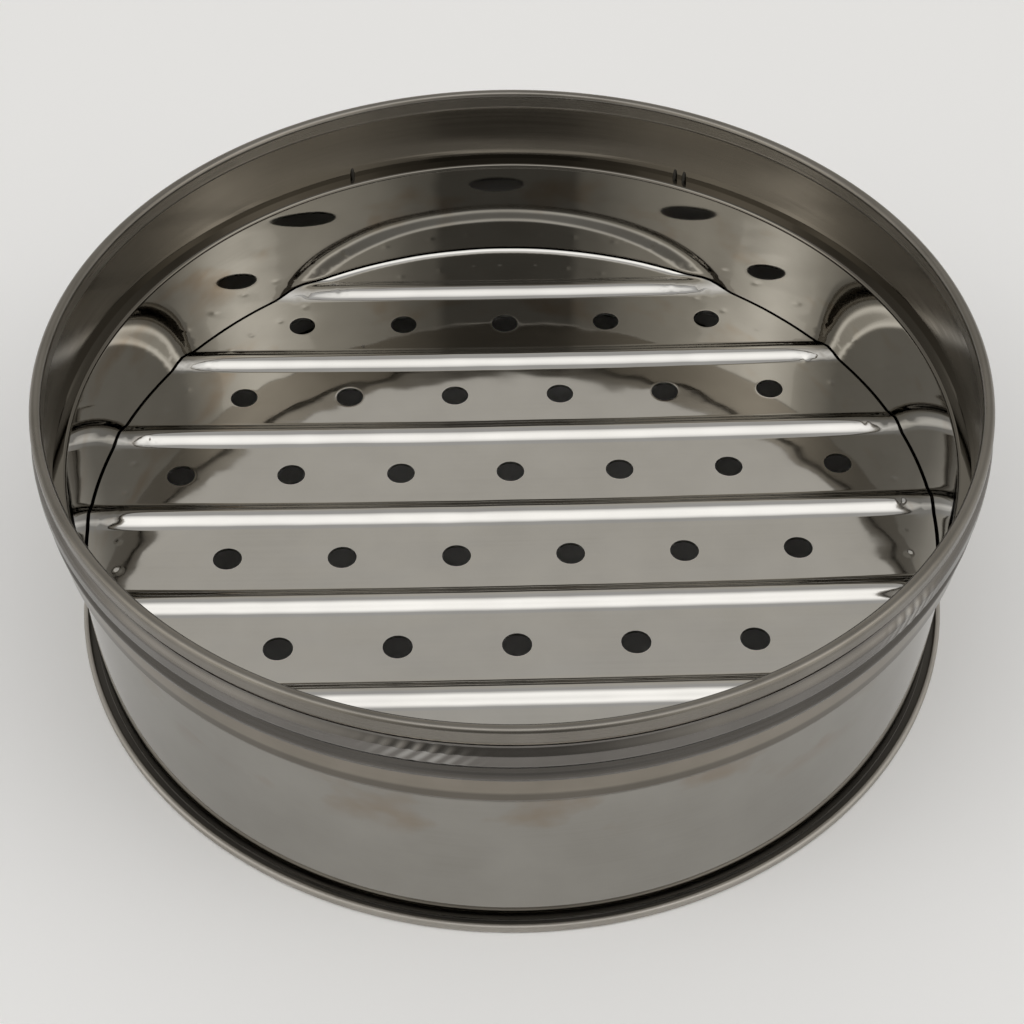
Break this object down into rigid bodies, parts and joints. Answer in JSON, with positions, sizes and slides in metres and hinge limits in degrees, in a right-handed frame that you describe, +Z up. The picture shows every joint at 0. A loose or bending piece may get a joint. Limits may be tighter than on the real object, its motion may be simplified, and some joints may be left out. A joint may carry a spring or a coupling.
{
  "type": "steamer tier",
  "caption": "Low round stainless-steel steamer tier, open at the top, with a stepped mouth, a hemmed foot that stacks on the tier below and a ribbed perforated plate that holds food above steam.",
  "frame": {"origin": "centre of the foot ring, on the surface that the tier stands on", "axes": "+Z up along the drum's axis, +X along the ribs of the plate, the picture looks along +Y"},
  "size_m": [0.2, 0.2, 0.0655],
  "materials": {
    "polished_steel": "polished, with faint rolling lines round the drum",
    "satin_steel": "satin, with weld ripples on the collar",
    "bright_steel": "bright, with spot-weld marks along the edge",
    "mill_steel": "dull mill finish"
  },
  "bodies": {
    "root": {"drum_wall": "polished_steel", "socket_sleeve": "satin_steel", "rim_cap": "satin_steel", "collar_band": "satin_steel", "foot_cap": "satin_steel", "support_ring": "mill_steel", "steam_plate": "bright_steel"}
  },
  "joints": []
}
